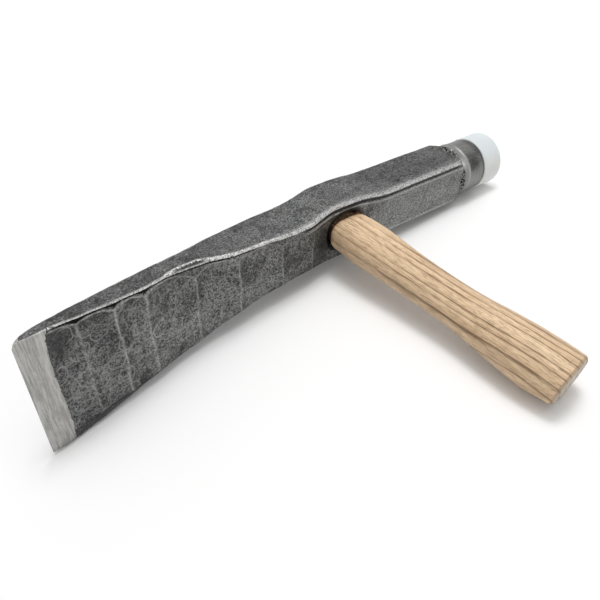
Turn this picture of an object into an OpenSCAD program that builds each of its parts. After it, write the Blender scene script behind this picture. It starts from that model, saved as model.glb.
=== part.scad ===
// Soft face sledgehammer: a forged head with a wide adze blade on one end and a
// turned socket for a replaceable soft face on the other, on a short wedged ash handle.
// The head lies along X with the soft face towards +X, the handle leaves towards -Y and
// Z is up. The origin is the middle of the lower cheek, straight under the eye.

/* [Blade] */
// Reach of the cutting edge from the middle of the eye
blade_reach = 198; // [185:1:215]
// Length of the cutting edge
edge_w = 71; // [64:1:80]
// Thickness left at the cutting edge
edge_t = 1; // [0.6:0.1:2]
// How far the cutting edge leans towards the handle side
edge_lean = 40; // [36:0.5:44]
// Width of the ground strip behind the edge
ground_l = 12; // [8:1:16]
// Width of the blade where the ground strip starts
ground_w = 70; // [64:0.5:78]
// Thickness of the blade where the ground strip starts
ground_t = 6.5; // [5:0.5:9]
// Radius of the worn upper corner of the edge
corner_r = 4; // [3:0.5:10]

/* [Heel of the blade] */
// Reach of the heel, where the wide blade begins to narrow
heel_reach = 141; // [132:1:150]
// Width of the head at the heel
heel_w = 58.2; // [54:0.2:64]
// How far the handle side of the heel lies from the middle line
heel_lean = 30.9; // [28:0.1:34]
// Thickness of the head at the heel
heel_t = 13.3; // [11:0.1:16]

/* [Root of the blade] */
// Reach of the root, where the blade ends and the head starts to thicken
root_reach = 110; // [104:1:118]
// Width of the head at the root
root_w = 53.6; // [50:0.2:56]
// How far the handle side of the root lies from the middle line
root_lean = 24.2; // [22:0.1:27]
// Thickness of the head at the root
root_t = 13.5; // [11:0.1:16]

/* [Neck] */
// Reach of the neck, half way down the narrowing part
neck_reach = 86; // [80:1:94]
// Width of the head at the neck
neck_w = 43; // [40:0.5:48]
// How far the handle side of the neck lies from the middle line
neck_lean = 22.9; // [21:0.1:26]
// Thickness of the head at the neck
neck_t = 22.4; // [19:0.1:25]

/* [Throat] */
// Reach of the throat, between the neck and the waist
throat_reach = 60; // [54:1:66]
// Width of the head at the throat
throat_w = 37.2; // [35:0.2:42]
// How far the handle side of the throat lies from the middle line
throat_lean = 20.7; // [19:0.1:24]
// Thickness of the head at the throat
throat_t = 27; // [25:0.1:30]

/* [Waist] */
// Reach of the waist, the narrowest place before the eye
waist_reach = 34; // [30:1:40]
// Width of the head at the waist
waist_w = 33.4; // [31:0.2:37]
// How far the handle side of the waist lies from the middle line
waist_lean = 19.6; // [18:0.1:22]
// Thickness of the head at the waist
waist_t = 30.3; // [28:0.1:33]

/* [Eye] */
// Width of the head over the two cheeks
cheek_w = 38; // [36:0.5:44]
// Length of the flat on each cheek
cheek_l = 18; // [12:1:24]
// Thickness of the head through the eye
cheek_t = 29.6; // [28:0.1:31]
// Length of the oval eye along the head
eye_l = 24; // [22:0.5:26]
// Height of the oval eye
eye_h = 20; // [18:0.5:23]
// Depth of the funnel at the mouth of the eye, on the handle side
mouth_depth = 4; // [2:0.5:7]
// How much the mouth of the eye opens out, each side
mouth_flare = 0.6; // [0.2:0.1:1]
// How much the far end of the eye opens out for the wedges, each side
eye_flare = 0.9; // [0.4:0.1:1.4]
// Depth over which the far end opens out
flare_depth = 12; // [8:1:16]

/* [Socket bar] */
// Side of the square bar
bar_size = 32; // [30:0.5:34]
// Reach of the start of the square bar
bar_start = 32; // [28:1:40]
// Reach of the shoulder where the turned end begins
bar_reach = 111; // [106:1:116]
// Size that the forged end of the bar swells to
swell_size = 33; // [32:0.1:36]
// Bevel along the long edges of the head
bevel = 2.2; // [1.6:0.1:3]

/* [Turned end] */
// Diameter of the turned collar
collar_d = 36; // [36:0.5:40]
// Reach of the rim of the collar
collar_reach = 127.4; // [124:0.2:140]
// Radius of the sweep turned into the bar's corners at the shoulder
sweep_r = 11; // [6:0.5:13]
// Diameter of the ledge at the foot of the sweep
ledge_d = 39.2; // [38.4:0.2:41]
// Diameter of the socket
socket_d = 26; // [20:0.5:28]
// Depth of the socket, without its drill point
socket_depth = 26; // [22:1:32]

/* [Soft face] */
// Diameter of the soft face
face_d = 37; // [36:0.5:41]
// Length of the soft face outside the collar
face_l = 18.2; // [12:0.2:26]
// Radius of its worn rim
face_rim_r = 1.8; // [1:0.2:3]
// Length of the stem in the socket
stem_l = 24; // [16:1:30]
// Radial play between stem and socket
stem_play = 0.05; // [0.02:0.01:0.1]

/* [Handle] */
// Reach of the butt from the middle line of the head
butt_reach = 171; // [165:1:200]
// Length over which the handle is shaved down from the neck to the eye
shave_l = 9.6; // [6:0.2:14]
// Reach of the end of the thick neck beside the head
grip_neck_reach = 36; // [32:1:50]
// Width of the handle at the neck, along the head
grip_neck_w = 28.2; // [27:0.2:30]
// Height of the handle at the neck
grip_neck_h = 25.8; // [24:0.2:28]
// Reach of the thinnest place
grip_waist_reach = 98; // [84:1:110]
// Width at the thinnest place
grip_waist_w = 24.2; // [22:0.2:26]
// Height at the thinnest place
grip_waist_h = 22.2; // [20:0.2:24]
// Reach of the swell before the butt
grip_swell_reach = 150; // [140:1:160]
// Width at the swell before the butt
grip_swell_w = 30; // [28:0.2:34]
// Height at the swell before the butt
grip_swell_h = 27.8; // [26:0.2:31]
// Chamfer round the butt
butt_chamfer = 2.4; // [1:0.2:4]
// How far the handle stands out at the back of the eye
tongue_proud = 1.5; // [0.5:0.5:4]

/* [Wedges] */
// Thickness of the wooden wedge at its driven end
wood_wedge_t = 4.4; // [3:0.2:6]
// Length of the wooden wedge
wood_wedge_l = 23; // [18:1:25]
// Thickness of the steel wedge at its driven end
steel_wedge_t = 2.6; // [2:0.2:3.6]
// Width of the steel wedge
steel_wedge_w = 15; // [10:0.5:17]
// Length of the steel wedge
steel_wedge_l = 14; // [10:1:16]
// Gap left round each driven piece
seat_gap = 0.1; // [0.05:0.05:0.2]

/* [Hidden] */
$fn = 96;
// A little past a surface, so that cuts come out clean
past = 1;
mid_z = cheek_w / 2;
edge_x = -blade_reach;
ground_x = ground_l - blade_reach;
// The cheeks sit a little towards the handle side of the head's middle line
cheek_offset = 0.6;
cheek_front = -cheek_t / 2 - cheek_offset;
cheek_back = cheek_front + cheek_t;
// The bevel is never more than this share of the thickness
bevel_share = 0.1;
// Where the hammered steps cross the blade, as shares of the blade's reach
steps = [0.864, 0.775, 0.7, 0.556, 0.42, 0.265, 0.148];
// Depth of the hollow that the hammer left between two steps
step_dish = 0.5;
// Greatest distance between two cross sections of the forging
station_gap = 5;
// The handle side turns out by this much where the ground strip starts
grind_lift = 0.6;
// Length over which the end of the bar swells
swell_l = 9;
// How far the collar's root runs back over the end of the bar, a cone for its first half
collar_root = 5;
rim_chamfer = 0.8;
// Angle of the drill point at the bottom of the socket, from its axis
drill_angle = 59;
stem_chamfer = 1;
// Place of the driven ends of both wedges and of the handle at the back of the eye
tongue_y = cheek_back + tongue_proud;
// Thickness of both wedges at their thin ends
wedge_tip_t = 0.8;
// How much further than the wedge the saw cut in the tongue runs
saw_depth = 3;
// Number of rings along the shaved part and along the grip
shave_rings = 5;
grip_rings = 24;

// Key cross sections: place along the head, width, handle side, far side
key_sections = [
    [edge_x, edge_w, -edge_lean - edge_t / 2, -edge_lean + edge_t / 2],
    [ground_x, ground_w, -edge_lean + grind_lift, -edge_lean + grind_lift + ground_t],
    [-heel_reach, heel_w, -heel_lean, -heel_lean + heel_t],
    [-root_reach, root_w, -root_lean, -root_lean + root_t],
    [-neck_reach, neck_w, -neck_lean, -neck_lean + neck_t],
    [-throat_reach, throat_w, -throat_lean, -throat_lean + throat_t],
    [-waist_reach, waist_w, -waist_lean, -waist_lean + waist_t],
    [-cheek_l / 2, cheek_w, cheek_front, cheek_back],
    [cheek_l / 2, cheek_w, cheek_front, cheek_back],
    [bar_start, bar_size, -bar_size / 2, bar_size / 2],
    [bar_reach - swell_l, bar_size, -bar_size / 2, bar_size / 2],
    [bar_reach, swell_size, -swell_size / 2, swell_size / 2]
];

// Slope of column c at key i, from the keys on either side of it
function slope(i, c) =
    let (last = len(key_sections) - 1, a = max(i - 1, 0), b = min(i + 1, last))
    (key_sections[b][c] - key_sections[a][c]) / (key_sections[b][0] - key_sections[a][0]);

// Column c of the head at place x, on a smooth curve through the keys
function along(x, c) =
    let (
        last = len(key_sections) - 1,
        i = max([for (k = [0:last - 1]) key_sections[k][0] <= x ? k : 0]),
        span = key_sections[i + 1][0] - key_sections[i][0],
        t = (x - key_sections[i][0]) / span,
        from = key_sections[i][c],
        to = key_sections[i + 1][c],
        flat = from == to,
        rise_a = flat ? 0 : slope(i, c) * span,
        rise_b = flat ? 0 : slope(i + 1, c) * span
    )
    from * (1 + 2 * t) * (1 - t) * (1 - t) + rise_a * t * (1 - t) * (1 - t)
    + to * t * t * (3 - 2 * t) - rise_b * t * t * (1 - t);

// Places of the steps, from the edge towards the eye
step_x = [for (s = steps) edge_x * s];

// 0 on a step and 1 half way between two of them
function dish_at(x) =
    let (
        marks = concat([ground_x], step_x, [-cheek_l / 2]),
        hits = [for (i = [0:len(marks) - 2]) if (x > marks[i] && x < marks[i + 1]) i]
    )
    len(hits) == 0 ? 0
        : sin(180 * (x - marks[hits[0]]) / (marks[hits[0] + 1] - marks[hits[0]]));

// Cross section of the forging at place x: a bevelled rectangle
function section(x) =
    let (
        half = along(x, 1) / 2,
        front = along(x, 2) + step_dish * dish_at(x),
        back = along(x, 3),
        b = min(bevel, (back - front) * bevel_share)
    )
    [
        [x, front, -half + b], [x, front + b, -half], [x, back - b, -half], [x, back, -half + b],
        [x, back, half - b], [x, back - b, half], [x, front + b, half], [x, front, half - b]
    ];

// Places of the cross sections: every key and step, with more between them
marks_x = concat([edge_x, ground_x], step_x, [-cheek_l / 2, cheek_l / 2, bar_start, bar_reach - swell_l, bar_reach]);
stations = concat(
    [for (i = [0:len(marks_x) - 2])
        let (
            span = marks_x[i + 1] - marks_x[i],
            straight = marks_x[i] == -cheek_l / 2 || marks_x[i] == bar_start,
            parts = straight ? 1 : ceil(span / station_gap)
        )
        for (k = [0:parts - 1]) marks_x[i] + span * k / parts],
    [bar_reach]
);

// Closed solid through a row of rings that all have the same number of points
module loft(rings) {
    n = len(rings[0]);
    last = len(rings) - 1;
    points = [for (ring = rings) for (p = ring) p];
    sides = [for (i = [0:last - 1]) for (k = [0:n - 1])
        let (a = i * n + k, b = i * n + (k + 1) % n)
        each [[a, b + n, b], [a, a + n, b + n]]];
    first_cap = [for (k = [0:n - 1]) k];
    last_cap = [for (k = [n - 1:-1:0]) last * n + k];
    polyhedron(points = points, faces = concat(sides, [first_cap, last_cap]), convexity = 6);
}

// Ring of an oval across the handle: place, width along X, height along Z
oval_sides = 40;
function oval_ring(y, w, h) =
    [for (k = [0:oval_sides - 1])
        let (a = 360 * k / oval_sides)
        [w / 2 * cos(a), y, h / 2 * sin(a)]];

function ease(t) = let (s = min(max(t, 0), 1)) s * s * (3 - 2 * s);

// Half of the extra size of the eye at place y: it opens towards both ends
function eye_opening(y, mouth) =
    eye_flare * max(0, y - cheek_back + flare_depth) / flare_depth
    + mouth * max(0, cheek_front + mouth_depth - y) / mouth_depth;

// Rings inside the eye between two places, grown by extra all round
function eye_rings(y_far, y_near, mouth, extra) =
    [for (y = [y_far, cheek_back - flare_depth, cheek_front + mouth_depth, y_near])
        let (grow = 2 * (eye_opening(y, mouth) + extra))
        oval_ring(y, eye_l + grow, eye_h + grow)];

// Size of the grip at distance d from the head's middle line: eye, neck, waist, swell
function grip_size(d, eye, neck, waist, swell) =
    d < -cheek_front + shave_l ? eye + (neck - eye) * sin(90 * (d + cheek_front) / shave_l)
    : d < grip_waist_reach
        ? neck + (waist - neck) * ease((d - grip_neck_reach) / (grip_waist_reach - grip_neck_reach))
        : waist + (swell - waist) * ease((d - grip_waist_reach) / (grip_swell_reach - grip_waist_reach));
function grip_w(d) = grip_size(d, eye_l - 2 * seat_gap, grip_neck_w, grip_waist_w, grip_swell_w);
function grip_h(d) = grip_size(d, eye_h - 2 * seat_gap, grip_neck_h, grip_waist_h, grip_swell_h);

// Lifts a piece from the middle plane of the head to its place over the lower cheek
module at_mid() {
    translate([0, 0, mid_z]) children();
}

// Turns a piece made along Z so that it runs along the head
module along_head(x) {
    translate([x, 0, 0]) rotate([0, 90, 0]) children();
}

// Forged body: blade, neck, cheeks and square bar in one sweep
module forging() {
    loft([for (x = stations) section(x)]);
}

// Turned collar: a cone that rises out of the bar's flats, a barrel and a chamfered rim
module collar() {
    cone_l = collar_root / 2;
    start = bar_reach - collar_root + cone_l;
    barrel_l = collar_reach - rim_chamfer - start;
    along_head(start - cone_l) cylinder(d1 = bar_size, d2 = collar_d, h = cone_l);
    along_head(start) cylinder(d = collar_d, h = barrel_l);
    along_head(start + barrel_l) cylinder(d1 = collar_d, d2 = collar_d - 2 * rim_chamfer, h = rim_chamfer);
}

// Rounds the worn upper corner of the cutting edge
module corner_cut() {
    depth = 2 * edge_lean;
    translate([edge_x + corner_r, -edge_lean, edge_w / 2 - corner_r]) difference() {
        translate([-corner_r - past, -depth / 2, 0]) cube([corner_r + past, depth, corner_r + past]);
        rotate([90, 0, 0]) cylinder(r = corner_r, h = depth + 2 * past, center = true);
    }
}

// Sweep turned into the corners of the bar, down to the ledge
module shoulder_cut() {
    along_head(bar_reach) rotate_extrude()
        translate([ledge_d / 2 + sweep_r, 0]) circle(r = sweep_r);
}

// Drilled socket for the stem of the soft face, with its drill point
module socket() {
    point_l = socket_d / 2 / tan(drill_angle);
    along_head(collar_reach - socket_depth) cylinder(d = socket_d, h = socket_depth + past);
    along_head(collar_reach - socket_depth - point_l) cylinder(d1 = 0, d2 = socket_d, h = point_l);
}

// Head of the hammer, with its eye, collar and socket
module hammer_head() {
    color([0.27, 0.28, 0.28]) at_mid() difference() {
        union() {
            difference() {
                forging();
                shoulder_cut();
            }
            collar();
        }
        corner_cut();
        loft(eye_rings(cheek_back + past, cheek_front - past, mouth_flare, 0));
        socket();
    }
}

// Replaceable soft face: a thick disc with a worn rim, on a plain stem
module soft_face() {
    face_r = face_d / 2;
    stem_r = socket_d / 2 - stem_play;
    color([0.93, 0.94, 0.94]) at_mid() along_head(collar_reach) {
        rotate_extrude() {
            translate([0, seat_gap]) square([face_r, face_l - face_rim_r - seat_gap]);
            square([face_r - face_rim_r, face_l]);
            translate([face_r - face_rim_r, face_l - face_rim_r]) circle(r = face_rim_r);
        }
        translate([0, 0, stem_chamfer - stem_l]) cylinder(r = stem_r, h = stem_l - stem_chamfer + past);
        translate([0, 0, -stem_l]) cylinder(r1 = stem_r - stem_chamfer, r2 = stem_r, h = stem_chamfer);
    }
}

// Flat wedge driven along -Y into the far end of the eye: width along X, thickness
// along Z, thin end at its tip. Grown by gap, it is the seat that takes the wedge.
module wedge(thickness, width, length, gap) {
    tip_y = tongue_y - length - gap;
    end_y = tongue_y + (gap > 0 ? past : 0);
    half_tip = wedge_tip_t / 2 + gap;
    half_end = thickness / 2 + gap;
    rotate([90, 0, 90]) linear_extrude(height = width + 2 * gap, center = true)
        polygon([[tip_y, -half_tip], [tongue_y, -half_end], [end_y, -half_end],
                 [end_y, half_end], [tongue_y, half_end], [tip_y, half_tip]]);
}

module wood_wedge_blank(gap) {
    wedge(wood_wedge_t, eye_l + 2 * flare_depth, wood_wedge_l, gap);
}

module steel_wedge_blank(gap) {
    rotate([0, 90, 0]) wedge(steel_wedge_t, steel_wedge_w, steel_wedge_l, gap);
}

// Saw cut in the tongue that takes the wooden wedge and runs on past its tip
module saw_cut() {
    length = wood_wedge_l + saw_depth;
    translate([-eye_l, tongue_y - length, -wedge_tip_t / 2]) cube([2 * eye_l, length, wedge_tip_t]);
}

// Handle: the tongue in the eye, then the grip from neck to butt
module ash_handle() {
    body_end = butt_reach - butt_chamfer;
    shave_rows = [for (k = [1:shave_rings]) -cheek_front + shave_l * k / shave_rings];
    grip_from = -cheek_front + shave_l;
    grip_rows = [for (k = [1:grip_rings]) grip_from + (body_end - grip_from) * k / grip_rings];
    grip = [for (d = concat(shave_rows, grip_rows)) oval_ring(-d, grip_w(d), grip_h(d))];
    end_w = grip_w(butt_reach) - 2 * butt_chamfer;
    end_h = grip_h(butt_reach) - 2 * butt_chamfer;
    color([0.85, 0.72, 0.52]) at_mid() difference() {
        loft(concat(eye_rings(tongue_y, cheek_front, 0, -seat_gap), grip, [oval_ring(-butt_reach, end_w, end_h)]));
        wood_wedge_blank(seat_gap);
        steel_wedge_blank(seat_gap);
        saw_cut();
    }
}

// Wooden wedge, its ends trimmed to the eye, split by the steel one
module wood_wedge() {
    color([0.72, 0.6, 0.42]) at_mid() difference() {
        intersection() {
            wood_wedge_blank(0);
            loft(eye_rings(tongue_y + past, cheek_front, 0, -seat_gap));
        }
        steel_wedge_blank(seat_gap);
    }
}

module steel_wedge() {
    color([0.5, 0.5, 0.5]) at_mid() steel_wedge_blank(0);
}

hammer_head();
soft_face();
ash_handle();
wood_wedge();
steel_wedge();
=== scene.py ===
import math

import bpy
import bmesh
import numpy as np
from mathutils import Matrix, Vector, noise


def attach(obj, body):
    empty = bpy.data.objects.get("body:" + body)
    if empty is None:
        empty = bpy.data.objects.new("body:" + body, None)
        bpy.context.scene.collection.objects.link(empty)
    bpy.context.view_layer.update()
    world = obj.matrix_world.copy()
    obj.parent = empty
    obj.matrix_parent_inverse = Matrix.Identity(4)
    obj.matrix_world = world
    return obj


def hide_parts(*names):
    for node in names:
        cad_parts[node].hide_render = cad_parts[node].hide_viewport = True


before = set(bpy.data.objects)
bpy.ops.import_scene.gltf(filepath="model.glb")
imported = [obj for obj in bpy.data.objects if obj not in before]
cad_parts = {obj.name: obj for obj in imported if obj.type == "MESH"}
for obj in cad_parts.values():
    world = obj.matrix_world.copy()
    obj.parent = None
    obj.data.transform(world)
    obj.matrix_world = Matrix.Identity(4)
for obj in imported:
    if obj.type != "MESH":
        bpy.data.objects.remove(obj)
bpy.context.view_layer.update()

scene = bpy.context.scene
mm = 0.001
midPlane = 19  # mm from the lower cheek up to the middle plane of the head
print("stage: packed frame loaded")


# camera: solved from the photograph, in metres, in the frame of the part
cameraSpec = {
    "place": (-0.211233, -0.236565, 0.218094),
    "right": (0.7933189, -0.608371, 0.0230175),
    "down": (-0.3781565, -0.5220428, -0.7645057),
    "ahead": (0.4771193, 0.5977926, -0.6442059),
    "lens": 35.408,
}


def addObject(name, data):
    thing = bpy.data.objects.new(name, data)
    scene.collection.objects.link(thing)
    return thing


def makeCamera(spec):
    right, down, ahead = (Vector(spec[k]).normalized() for k in ("right", "down", "ahead"))
    data = bpy.data.cameras.new("photoCamera")
    data.sensor_width = 36
    data.lens = spec["lens"]
    data.clip_start = 0.01
    data.clip_end = 50
    camera = addObject("photoCamera", data)
    turn = Matrix((right, -down, -ahead)).transposed()
    camera.matrix_world = Matrix.Translation(spec["place"]) @ turn.to_4x4()
    scene.camera = camera


makeCamera(cameraSpec)


class Tree:  # short names for building a node tree
    def __init__(self, tree):
        self.tree = tree

    def add(self, kind, sockets=None, **settings):
        node = self.tree.nodes.new(kind)
        for key, value in settings.items():
            setattr(node, key, value)
        for key, value in (sockets or {}).items():
            self.feed(node.inputs[key], value)
        return node

    def feed(self, socket, value):  # colours are given without alpha
        if isinstance(value, bpy.types.NodeSocket):
            self.tree.links.new(value, socket)
        elif socket.type == "RGBA":
            socket.default_value = (*value, 1)
        else:
            socket.default_value = value

    def out(self, kind, sockets=None, **settings):
        return self.add(kind, sockets, **settings).outputs[0]

    def math(self, operation, first, second=0):
        return self.out("ShaderNodeMath", {0: first, 1: second}, operation=operation)

    def times(self, first, *others):
        for value in others:
            first = self.math("MULTIPLY", first, value)
        return first

    def plus(self, first, *others):
        for value in others:
            first = self.math("ADD", first, value)
        return first

    def minus(self, first, second):
        return self.math("SUBTRACT", first, second)

    def sway(self, value, amount):  # noise about 0.5 as a push to either side of 0
        return self.times(self.minus(value, 0.5), amount)

    def step(self, value, low, high, bottom=0, top=1):  # smooth step from low to high
        sockets = {0: value, 1: low, 2: high, 3: bottom, 4: top}
        return self.out("ShaderNodeMapRange", sockets, interpolation_type="SMOOTHSTEP")

    def mix(self, factor, first, second, blend="MIX"):
        sockets = {0: factor, 6: first, 7: second}
        return self.add("ShaderNodeMix", sockets, data_type="RGBA", blend_type=blend).outputs[2]

    def paint(self, base, colour, *shares):  # colour laid on base by the product of the shares
        return self.mix(self.times(*shares), base, colour)

    def blendValue(self, factor, first, second):
        return self.out("ShaderNodeMix", {0: factor, 2: first, 3: second}, data_type="FLOAT")

    def noise(self, vector, scale, detail=4, rough=0.6, warp=0):
        sockets = {"Vector": vector, "Scale": scale, "Detail": detail, "Roughness": rough, "Distortion": warp}
        return self.add("ShaderNodeTexNoise", sockets).outputs["Fac"]

    def streaks(self, vector, scale, detail=3, rough=0.6, turn=(0, 0, 0)):  # noise drawn out
        sockets = {"Vector": vector, "Scale": scale, "Rotation": turn}
        return self.noise(self.out("ShaderNodeMapping", sockets), 1, detail, rough)

    def cracks(self, vector, scale):
        sockets = {"Vector": vector, "Scale": scale}
        return self.add("ShaderNodeTexVoronoi", sockets, feature="DISTANCE_TO_EDGE").outputs["Distance"]

    def parts(self, vector):
        return self.add("ShaderNodeSeparateXYZ", {0: vector}).outputs

    def marks(self, names):  # values of point attributes
        return [self.add("ShaderNodeAttribute", attribute_name=name).outputs["Fac"] for name in names.split()]


def emptyTree(owner):  # of a material or world
    owner.use_nodes = True
    owner.node_tree.nodes.clear()
    return Tree(owner.node_tree)


def newMaterial(name):
    material = bpy.data.materials.new(name)
    tree = emptyTree(material)
    return material, tree, tree.add("ShaderNodeTexCoord").outputs["Object"]


def finishMaterial(tree, sockets, bumps):  # pairs of height and depth in metres, the coarsest first
    normal = None
    for height, depth in bumps:
        feed = {"Height": height, "Distance": depth, "Strength": 1}
        if normal is not None:
            feed["Normal"] = normal
        normal = tree.out("ShaderNodeBump", feed)
    if normal is not None:
        sockets = dict(sockets, Normal=normal)
    tree.add("ShaderNodeOutputMaterial", {"Surface": tree.out("ShaderNodeBsdfPrincipled", sockets)})


# forged steel: scale, hammered lines, worn edges, ground strip, turned collar, with painted shade, painted
# sheen and painted reflection
steelLook = {
    "scaleDark": (0.04, 0.041, 0.04),
    "scaleMid": (0.098, 0.1, 0.098),
    "scaleLight": (0.33, 0.335, 0.33),
    "worn": (0.7, 0.7, 0.69),
    "ground": (0.485, 0.48, 0.462),
    "groundDark": (0.285, 0.28, 0.264),
    "turned": (0.235, 0.235, 0.228),
    # painted dark reflection and shade on the turned collar
    "turnedShade": (0.04, 0.04, 0.038),
    # near black: pockets and pits in the scale, and painted shade in creases, in the hollow by the handle and
    # at the collar's rim
    "pocketAndShade": (0.008, 0.008, 0.007),
    # painted shade in the crease of the bar
    "grooveShade": (0.02, 0.02, 0.018),
    "pit": (0.026, 0.026, 0.025),
    "sleek": (0.052, 0.052, 0.05),
    "lip": (0.088, 0.086, 0.074),
    # how fine the marks are: higher is finer
    "fine": 700, "salt": 1180, "mid": 150, "broad": 50, "clouds": 36,
    "loops": 105, "curls": 72, "threads": 330,
    "metallic": 0.8,
}


def forgedSteel(look):
    material, t, place = newMaterial("forgedSteel")
    dark, medium, light = look["scaleDark"], look["scaleMid"], look["scaleLight"]
    pocketAndShade, bareSteel, polish = look["pocketAndShade"], look["ground"], look["worn"]
    ridge, bright, twin, wear, bar, front = t.marks("ridge bright twin wear bar front")
    line, crease, hollow, sheen, dim, deepen = t.marks("line crease hollow sheen dim deepen")
    smooth, loopy, groundGap, lip, burr = t.marks("smooth loopy groundGap lip burr")
    turned, collar, ledge = t.marks("turned collar ledge")
    fine = t.noise(place, look["fine"], 4, 0.75)
    salt = t.noise(place, look["salt"], 2, 0.5)
    mid = t.noise(place, look["mid"], 4, 0.62, 0.8)
    broad = t.noise(place, look["broad"], 3, 0.55, 0.6)

    def bent(scale, amount):  # object coordinates pushed about, for lines that wander
        wobble = t.add("ShaderNodeTexNoise", {"Vector": place, "Scale": scale, "Detail": 3})
        sockets = {0: wobble.outputs["Color"], 1: (amount,) * 3, 2: place}
        return t.out("ShaderNodeVectorMath", sockets, operation="MULTIPLY_ADD")

    loops = t.step(t.cracks(bent(95, 0.017), look["loops"]), 0.075, 0.02)
    threads = t.step(t.cracks(bent(300, 0.006), look["threads"]), 0.2, 0.05)
    side = t.parts(bent(120, 0.005))
    side = t.out("ShaderNodeCombineXYZ", {0: side[0], 1: side[2]})
    sockets = {"Vector": side, "Scale": look["curls"]}
    cell = t.add("ShaderNodeTexVoronoi", sockets, voronoi_dimensions="2D").outputs["Distance"]
    curls = t.step(t.math("ABSOLUTE", t.minus(cell, 0.33)), 0.034, 0.012)
    curls = t.times(curls, t.step(t.noise(place, 80, 1), 0.47, 0.54))

    # plain scale: dark patches, mid grey, light specks and broken light threads
    tone = t.plus(t.times(mid, 0.6), t.times(broad, 0.4))
    clear = t.step(tone, 0.4, 0.54, 0.38, 1)
    base = t.mix(t.step(tone, 0.34, 0.56), dark, medium)
    base = t.paint(base, light, t.step(fine, 0.46, 0.62), clear, 0.42)
    speck = t.times(t.step(salt, 0.52, 0.63), clear)
    base = t.paint(base, light, speck, 0.74)
    broken = t.step(salt, 0.36, 0.54, 0.15, 1)
    thread = t.times(threads, clear, t.blendValue(front, 0.2, 0.55), broken)
    base = t.paint(base, light, thread)
    pits = t.math("MAXIMUM", t.times(t.step(salt, 0.45, 0.36), 0.78), t.times(t.step(fine, 0.42, 0.33), 0.8))
    base = t.paint(base, look["pit"], pits)
    base = t.paint(base, pocketAndShade, t.step(mid, 0.33, 0.28), 0.8)
    # painted shade in dark scale colour: on the tops, beside each step, in patches of the panels and beside
    # the handle; also a dark patch beside the ground strip
    base = t.paint(base, t.mix(t.step(fine, 0.4, 0.62), dark, medium), dim)

    # loops and curls in the scale of the blade, then the broad clouds
    loop = t.times(loops, front, loopy, t.step(salt, 0.34, 0.5, 0.35, 1))
    loop = t.times(loop, t.step(broad, 0.44, 0.54, 0.2, 1))
    curl = t.times(curls, loopy, t.step(salt, 0.28, 0.46, 0.55, 1), front, 1.9)
    base = t.paint(base, light, t.math("MAXIMUM", loop, t.math("MINIMUM", curl, 0.85)))
    clouds = t.step(t.noise(place, look["clouds"], 3, 0.55, 0.5), 0.36, 0.64, 0.86, 1.16)
    # painted shade multiplied in on the top faces and beside the handle, and darker towards the blade's end
    base = t.mix(1, base, t.times(clouds, t.minus(1, deepen)), "MULTIPLY")
    # painted sheen on the front of the bar and on the top beside the ridge
    base = t.paint(base, light, sheen, t.step(salt, 0.32, 0.62, 0.1, 0.85))

    # light lines between the hammered panels and along the top of each, and a painted highlight along the
    # bar's lower edge
    lines = t.times(line, t.step(fine, 0.3, 0.55, 0.25, 1))
    base = t.paint(base, t.mix(t.step(salt, 0.35, 0.65), light, bareSteel), lines)

    # smooth dark faces: the lower bevel and the lip over the eye
    polished = t.step(t.plus(smooth, t.sway(fine, 1.4)), 0.35, 0.75)
    polished = t.times(polished, t.step(salt, 0.56, 0.66, 0.95, 0.55))
    base = t.paint(base, t.mix(t.step(mid, 0.35, 0.7), look["sleek"], dark), polished)
    base = t.paint(base, t.mix(t.step(mid, 0.4, 0.6), look["lip"], dark), lip)

    # worn ridge: bright and speckled, with a mottled middle where it is double
    height = t.plus(ridge, t.sway(salt, 1.5))
    over = t.minus(height, bright)
    fadeOut = t.blendValue(bar, t.step(over, 0.7, -0.3), t.step(over, 2.6, -1.4))
    inBand = t.times(t.step(height, -0.25, t.blendValue(bar, 0.15, 0.9)), fadeOut)
    middle = t.math("DIVIDE", height, bright)
    between = t.times(t.step(middle, 0.18, 0.4), t.step(middle, 0.86, 0.66), twin)
    worn = t.times(inBand, t.minus(1, between), wear, t.step(salt, 0.34, 0.6, 0.28, 1))
    base = t.paint(base, polish, worn)

    # painted shade in the dark crease under the ridge, and painted shadow in the hollow beside the handle
    shadedCrease = t.step(t.plus(crease, t.sway(fine, 1.1)), 0.35, 0.8)
    base = t.paint(base, t.mix(bar, pocketAndShade, look["grooveShade"]), shadedCrease, t.blendValue(bar, 1, 0.86))
    base = t.paint(base, pocketAndShade, t.step(t.plus(hollow, t.sway(fine, 1.2)), 0.22, 0.42))

    # turned end: fine grooves round the axis, a light ledge, and a painted dark reflection with painted shade
    # on the collar, darker towards the rim
    grooves = t.streaks(place, (900, 16, 16))
    depth = t.plus(collar, t.sway(t.streaks(place, (60, 150, 150)), 0.6))
    tooled = t.mix(t.step(depth, -0.1, 1), look["turned"], look["turnedShade"])
    tooled = t.paint(tooled, pocketAndShade, t.step(depth, 1, 1.5))
    tooled = t.paint(tooled, medium, t.step(grooves, 0.4, 0.66, 0, 0.35))
    tooled = t.paint(tooled, light, t.step(salt, 0.54, 0.68), 0.35)
    base = t.paint(base, tooled, turned)
    knock = t.mix(t.step(ledge, 0.55, 0.95), bareSteel, polish)
    base = t.paint(base, knock, ledge, t.step(salt, 0.36, 0.58, 0.55, 1))
    base = t.paint(base, bareSteel, burr, t.step(salt, 0.46, 0.6), 0.9)
    base = t.paint(base, pocketAndShade, t.step(burr, 0.1, 0.5), t.step(fine, 0.52, 0.45))

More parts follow.
